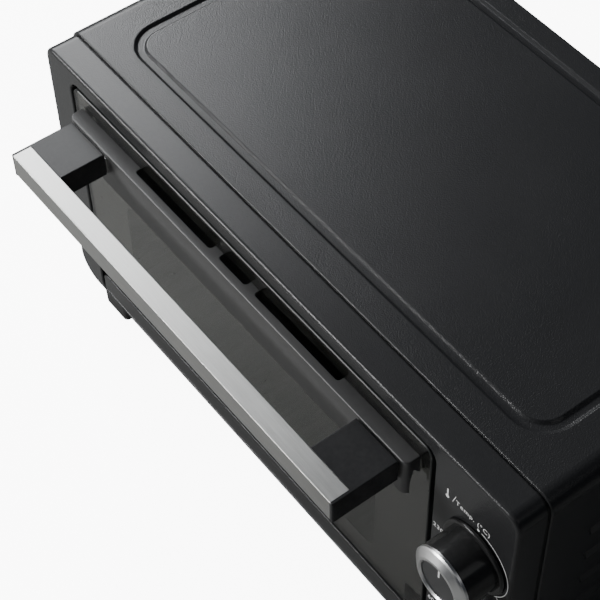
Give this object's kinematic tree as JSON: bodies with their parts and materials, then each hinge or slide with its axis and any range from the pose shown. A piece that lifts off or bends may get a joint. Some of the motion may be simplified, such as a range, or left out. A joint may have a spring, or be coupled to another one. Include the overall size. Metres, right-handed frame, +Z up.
{
  "type": "toaster oven",
  "caption": "Compact countertop toaster oven with a drop-down glass door, bar handle, dial controls, wire rack and pull-out crumb tray.",
  "frame": {"origin": "centre of the overall box in X and Y, on the surface that the feet stand on", "axes": "+Z up, +X to the right of a person facing the door, door on the -Y side"},
  "size_m": [0.426, 0.2962, 0.2235],
  "materials": {
    "back_coat": "matt black coat",
    "bar_aluminium": "brushed along its length, anodised",
    "bell_steel": "plated",
    "bracket_plastic": "satin moulded",
    "cap_plastic": "satin dark grey",
    "ceramic": "unglazed steatite",
    "door_glass": "tempered, printed black border",
    "foot_rubber": "matt",
    "frame_coat": "fine satin black powder coat",
    "gland_plastic": "matt moulded",
    "heater_tube": "frosted quartz",
    "knob_plastic": "polished black",
    "lamp_amber": "translucent amber",
    "lamp_case": "natural nylon",
    "liner_sheet": "aluminised steel",
    "rack_chrome": "bright chrome plate",
    "rail_coat": "satin dark grey coat",
    "ring_chrome": "satin chrome plate",
    "screw_steel": "bright zinc",
    "spring_steel": "oiled spring wire",
    "switch_case": "phenolic",
    "terminal_case": "natural nylon",
    "tray_steel": "aluminised steel",
    "wrap_coat": "black powder coat with a leather texture",
    "zinc_sheet": "zinc-coated sheet"
  },
  "bodies": {
    "root": {"back_cover": "back_coat", "bottom_plate": "zinc_sheet", "cable_gland": "gland_plastic", "control_plate": "zinc_sheet", "cover_screws": "screw_steel", "door_spring_left": "spring_steel", "door_spring_right": "spring_steel", "foot_front_left": "foot_rubber", "foot_front_right": "foot_rubber", "foot_rear_left": "foot_rubber", "foot_rear_right": "foot_rubber", "foot_screws": "screw_steel", "front_frame": "frame_coat", "heat_shield": "zinc_sheet", "heater_holders": "ceramic", "heater_lower_front": "heater_tube", "heater_lower_rear": "heater_tube", "heater_terminals": "screw_steel", "heater_upper_front": "heater_tube", "heater_upper_rear": "heater_tube", "lamp_body": "lamp_case", "lamp_lens": "lamp_amber", "outer_wrap": "wrap_coat", "oven_liner": "liner_sheet", "rack_runner_left": "liner_sheet", "rack_runner_right": "liner_sheet", "shaft_nuts": "screw_steel", "terminal_block": "terminal_case", "thermostat": "switch_case", "timer": "switch_case", "timer_bell": "bell_steel", "tray_guides": "zinc_sheet"},
    "door": {"door_glass": "door_glass", "door_rail": "rail_coat", "handle_sleeves": "screw_steel", "handle_plates": "screw_steel", "handle_bracket_left": "bracket_plastic", "handle_bracket_right": "bracket_plastic", "handle_bar": "bar_aluminium", "glass_clamp": "rail_coat", "handle_screws": "screw_steel", "hinge_clip_left": "zinc_sheet", "hinge_clip_right": "zinc_sheet", "hinge_pin_left": "screw_steel", "hinge_pin_right": "screw_steel"},
    "temperature_dial": {"temperature_knob": "knob_plastic", "temperature_ring": "ring_chrome", "temperature_cap": "cap_plastic", "temperature_shaft": "screw_steel"},
    "timer_dial": {"timer_knob": "knob_plastic", "timer_ring": "ring_chrome", "timer_cap": "cap_plastic", "timer_shaft": "screw_steel"},
    "crumb_drawer": {"crumb_tray": "tray_steel", "tray_front": "frame_coat"},
    "rack": {"wire_rack": "rack_chrome"}
  },
  "joints": [
    {"name": "door_hinge", "type": "hinge", "parent": "root", "child": "door", "pos_m": [-0.0174, -0.08885, 0.049], "axis": [1, 0, 0], "range_deg": [0, 80], "stiffness_Nm_per_rad": 0.3, "springref_deg": -34.38},
    {"name": "temperature_turn", "type": "hinge", "parent": "root", "child": "temperature_dial", "pos_m": [0.1836, -0.09585, 0.1605], "axis": [0, 1, 0], "range_deg": [0, 300]},
    {"name": "timer_turn", "type": "hinge", "parent": "root", "child": "timer_dial", "pos_m": [0.1836, -0.09585, 0.0805], "axis": [0, 1, 0], "range_deg": [0, 330]},
    {"name": "crumb_tray_slide", "type": "slide", "parent": "root", "child": "crumb_drawer", "axis": [0, -1, 0], "range_m": [0, 0.11]},
    {"name": "rack_slide", "type": "slide", "parent": "root", "child": "rack", "axis": [0, -1, 0], "range_m": [0, 0.05605]}
  ],
  "couplings": [
    {"joint": "rack_slide", "follows": "door_hinge", "m_per_rad": 0.04}
  ]
}
